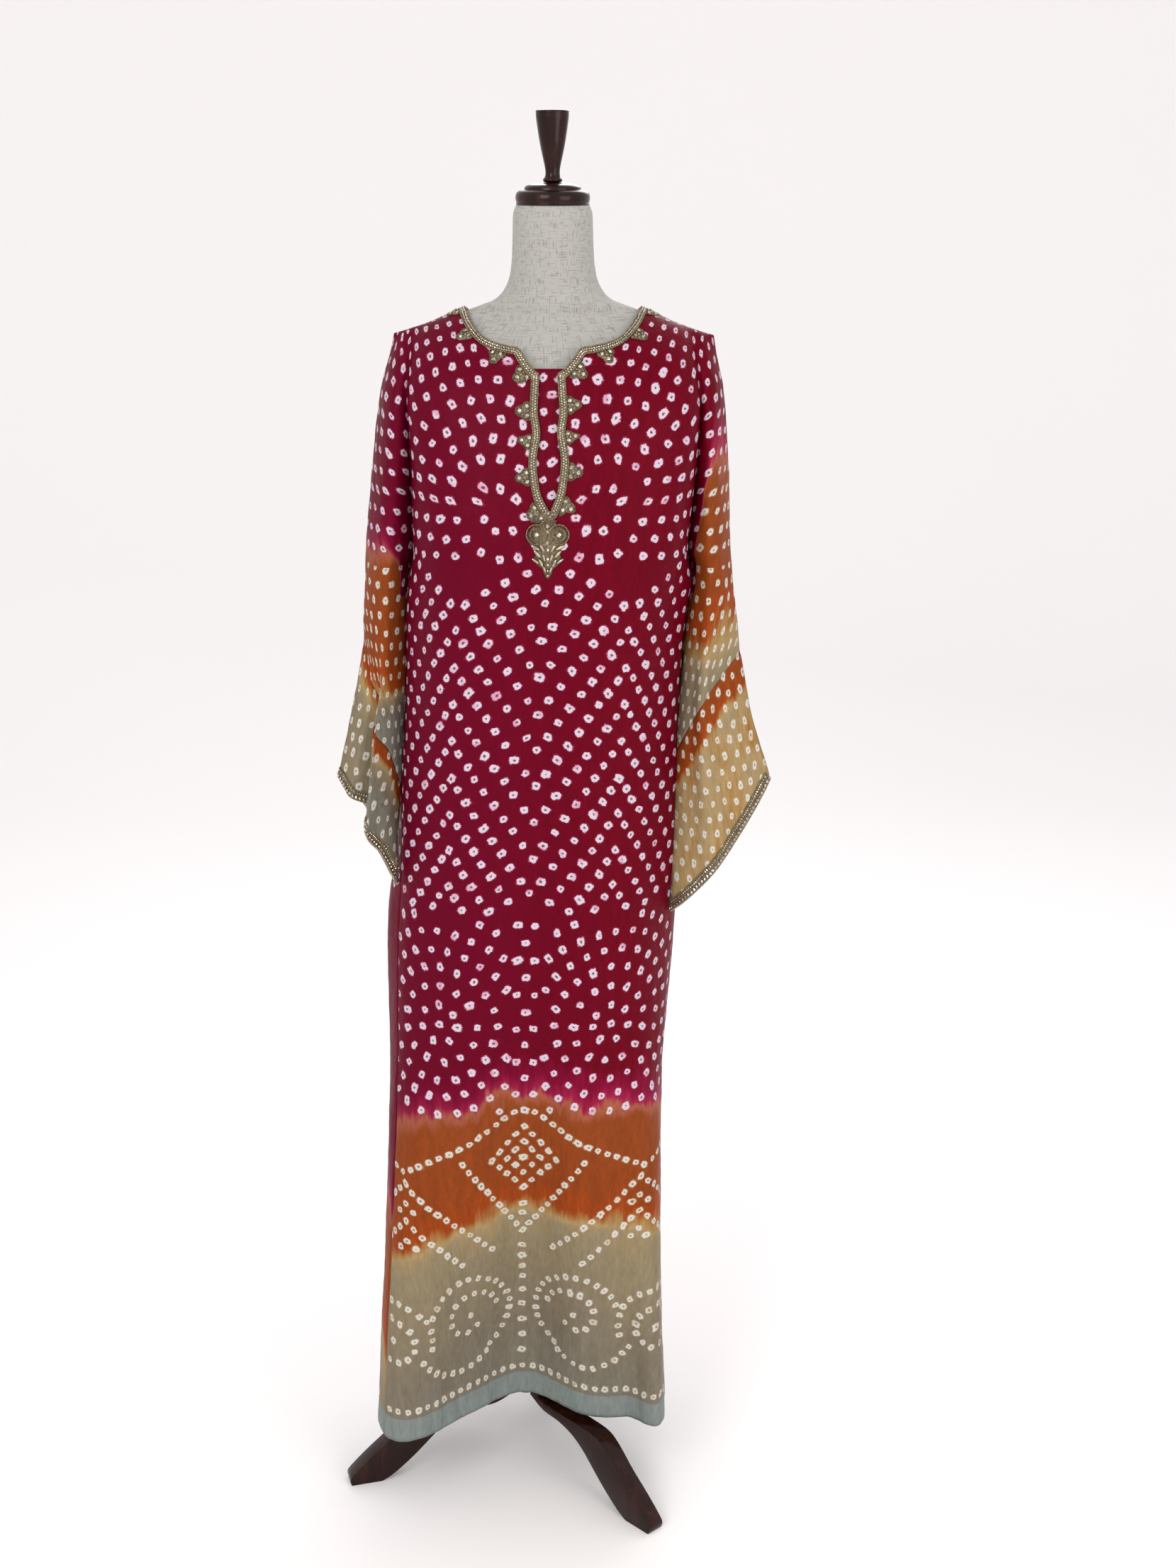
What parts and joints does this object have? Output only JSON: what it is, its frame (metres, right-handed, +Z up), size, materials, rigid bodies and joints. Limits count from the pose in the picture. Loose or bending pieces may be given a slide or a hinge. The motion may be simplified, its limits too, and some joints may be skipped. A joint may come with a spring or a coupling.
{
  "type": "kaftan on a limbless dress form with a wooden stand",
  "caption": "Long tie-dyed silk kaftan with wide sleeves and a beaded neckline, worn by a linen dress form on a turned and sawn wooden tripod.",
  "frame": {"origin": "on the floor under the middle of the whole object's box", "axes": "+Z up along the stand, -Y towards the front of the kaftan, +X towards the wearer's left side, which is on the right in the picture"},
  "size_m": [0.5802, 0.4492, 1.8485],
  "materials": {
    "silk": "soft sheen, resist-dyed dots",
    "sleeve_silk": "soft sheen, resist-dyed dots",
    "beadwork": "antique gold thread, glass beads and stones",
    "linen": "plain weave with dark slubs",
    "mahogany": "dark gloss varnish"
  },
  "bodies": {
    "root": {"front": "silk", "back": "silk", "right_sleeve_end": "sleeve_silk", "left_sleeve_end": "sleeve_silk", "slit_underlap": "silk", "neck_trim": "beadwork", "back_neck_trim": "beadwork", "slit_pendant": "beadwork", "right_cuff_trim": "beadwork", "left_cuff_trim": "beadwork", "dress_form": "linen", "neck_cap": "mahogany", "finial": "mahogany", "pole": "mahogany", "hub": "mahogany", "right_leg": "mahogany", "left_leg": "mahogany", "back_leg": "mahogany"}
  },
  "joints": []
}
